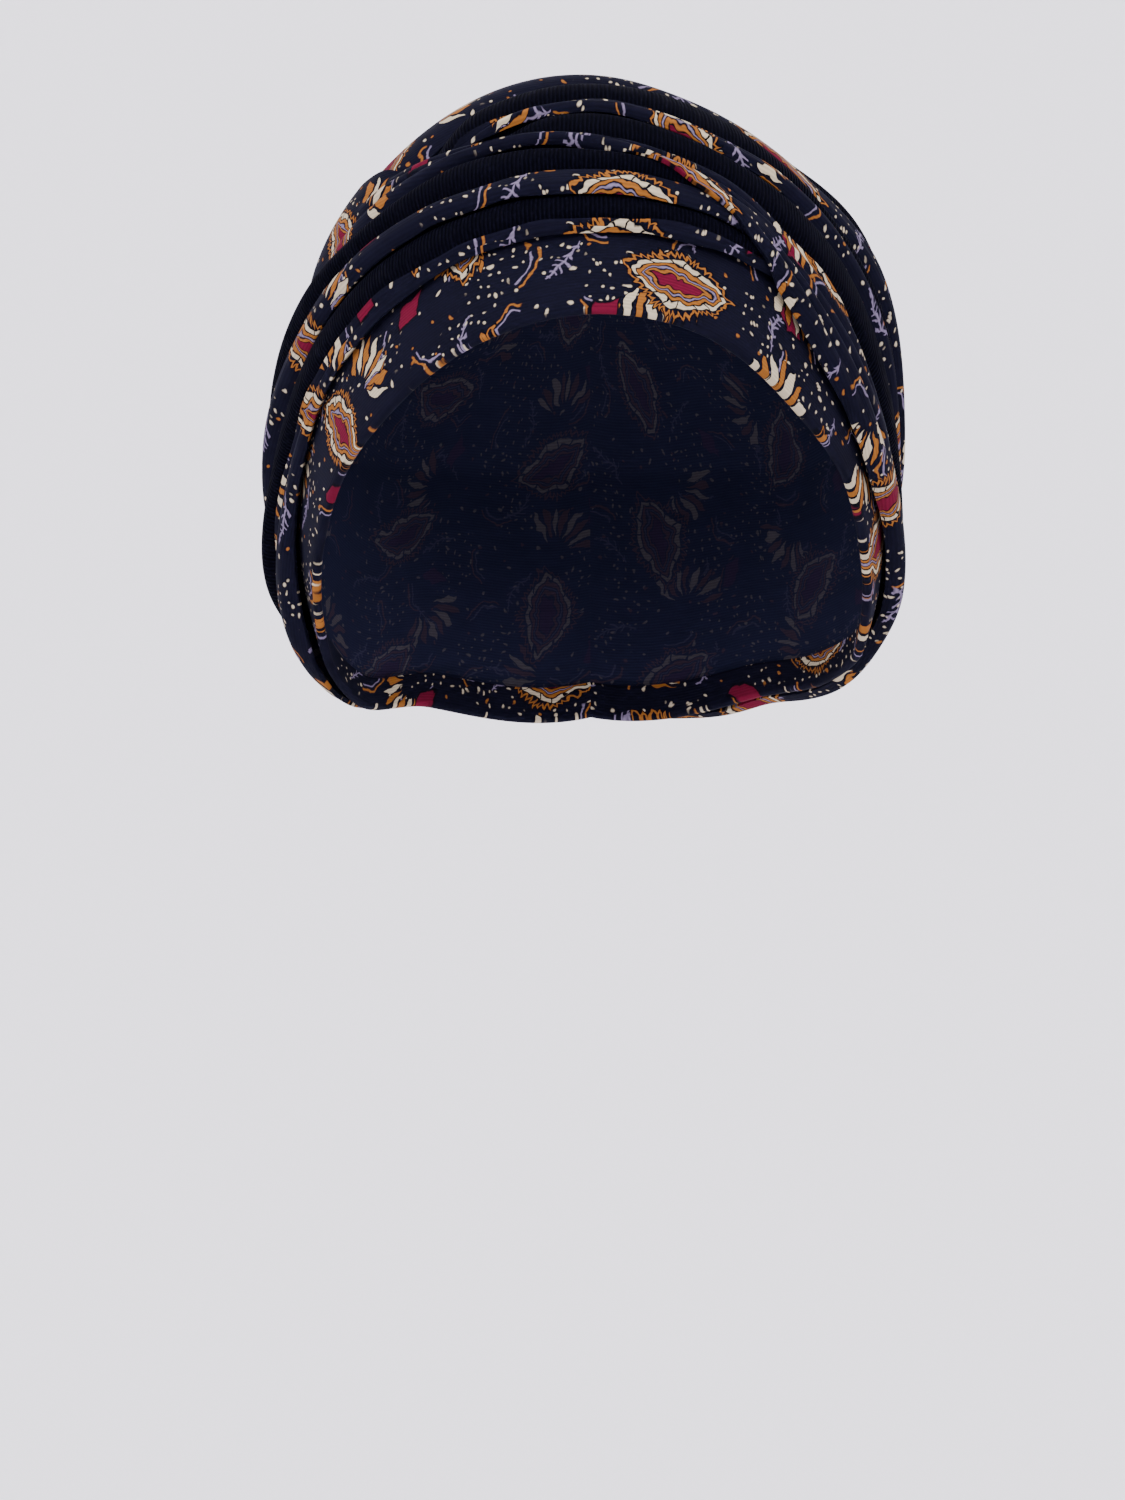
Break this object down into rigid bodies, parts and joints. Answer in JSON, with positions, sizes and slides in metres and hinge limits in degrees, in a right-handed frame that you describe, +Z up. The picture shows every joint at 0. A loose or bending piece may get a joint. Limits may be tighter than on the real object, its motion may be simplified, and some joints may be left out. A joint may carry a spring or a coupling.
{
  "type": "turban headwrap",
  "caption": "Pre-wrapped jersey turban: a close printed cap with printed folds and plain ribbed rolls wound over it, open for the face and hollow for the head.",
  "frame": {"origin": "inside of the crown, the point of the cap that sits on the top of the head", "axes": "+Z up, -Y to the front (the forehead panel), +X to the wearer's left, which is the right of the picture"},
  "size_m": [0.184, 0.199, 0.1818],
  "materials": {
    "print": "fine printed jersey, matte",
    "rib": "fine ribbed jersey, matte"
  },
  "bodies": {
    "root": {"cap": "print", "rear_panel": "print", "brow_fold": "print", "middle_fold": "print", "crown_fold": "print", "crest_fold": "print", "twist_band": "print", "nape_band": "print", "rear_roll": "rib", "lower_roll": "rib", "upper_roll": "rib", "crown_roll": "rib", "side_roll": "rib"}
  },
  "joints": []
}
